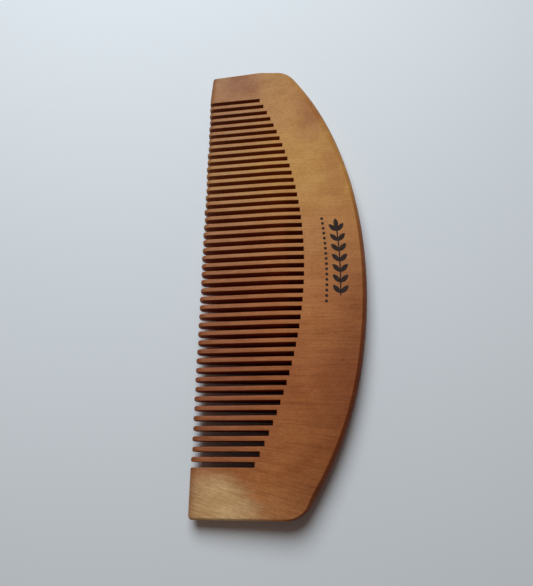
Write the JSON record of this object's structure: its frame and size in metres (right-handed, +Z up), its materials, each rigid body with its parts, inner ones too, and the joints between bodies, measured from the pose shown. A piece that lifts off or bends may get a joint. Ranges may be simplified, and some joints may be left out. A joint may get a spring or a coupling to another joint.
{
  "type": "hair comb",
  "caption": "Half-moon wooden hair comb with an arched back, broad end guards, a row of fine straight teeth and a small printed leaf sprig.",
  "frame": {"origin": "middle of the comb's length and height, on the flat underside it rests on", "axes": "+X along the comb's length, +Y from the tooth tips to the crest of the back, +Z up out of the printed face"},
  "size_m": [0.1296, 0.0448, 0.0071],
  "materials": {
    "back_wood": "satin",
    "tooth_wood": "satin",
    "printing_ink": "matte"
  },
  "bodies": {
    "root": {"back": "back_wood", "end_guard_left": "back_wood", "end_guard_right": "back_wood", "printed_sprig": "printing_ink", "tooth_01": "tooth_wood", "tooth_02": "tooth_wood", "tooth_03": "tooth_wood", "tooth_04": "tooth_wood", "tooth_05": "tooth_wood", "tooth_06": "tooth_wood", "tooth_07": "tooth_wood", "tooth_08": "tooth_wood", "tooth_09": "tooth_wood", "tooth_10": "tooth_wood", "tooth_11": "tooth_wood", "tooth_12": "tooth_wood", "tooth_13": "tooth_wood", "tooth_14": "tooth_wood", "tooth_15": "tooth_wood", "tooth_16": "tooth_wood", "tooth_17": "tooth_wood", "tooth_18": "tooth_wood", "tooth_19": "tooth_wood", "tooth_20": "tooth_wood", "tooth_21": "tooth_wood", "tooth_22": "tooth_wood", "tooth_23": "tooth_wood", "tooth_24": "tooth_wood", "tooth_25": "tooth_wood", "tooth_26": "tooth_wood", "tooth_27": "tooth_wood", "tooth_28": "tooth_wood", "tooth_29": "tooth_wood", "tooth_30": "tooth_wood", "tooth_31": "tooth_wood", "tooth_32": "tooth_wood", "tooth_33": "tooth_wood", "tooth_34": "tooth_wood", "tooth_35": "tooth_wood", "tooth_36": "tooth_wood", "tooth_37": "tooth_wood", "tooth_38": "tooth_wood", "tooth_39": "tooth_wood", "tooth_40": "tooth_wood", "tooth_41": "tooth_wood", "tooth_42": "tooth_wood", "tooth_43": "tooth_wood", "tooth_44": "tooth_wood"}
  },
  "joints": []
}
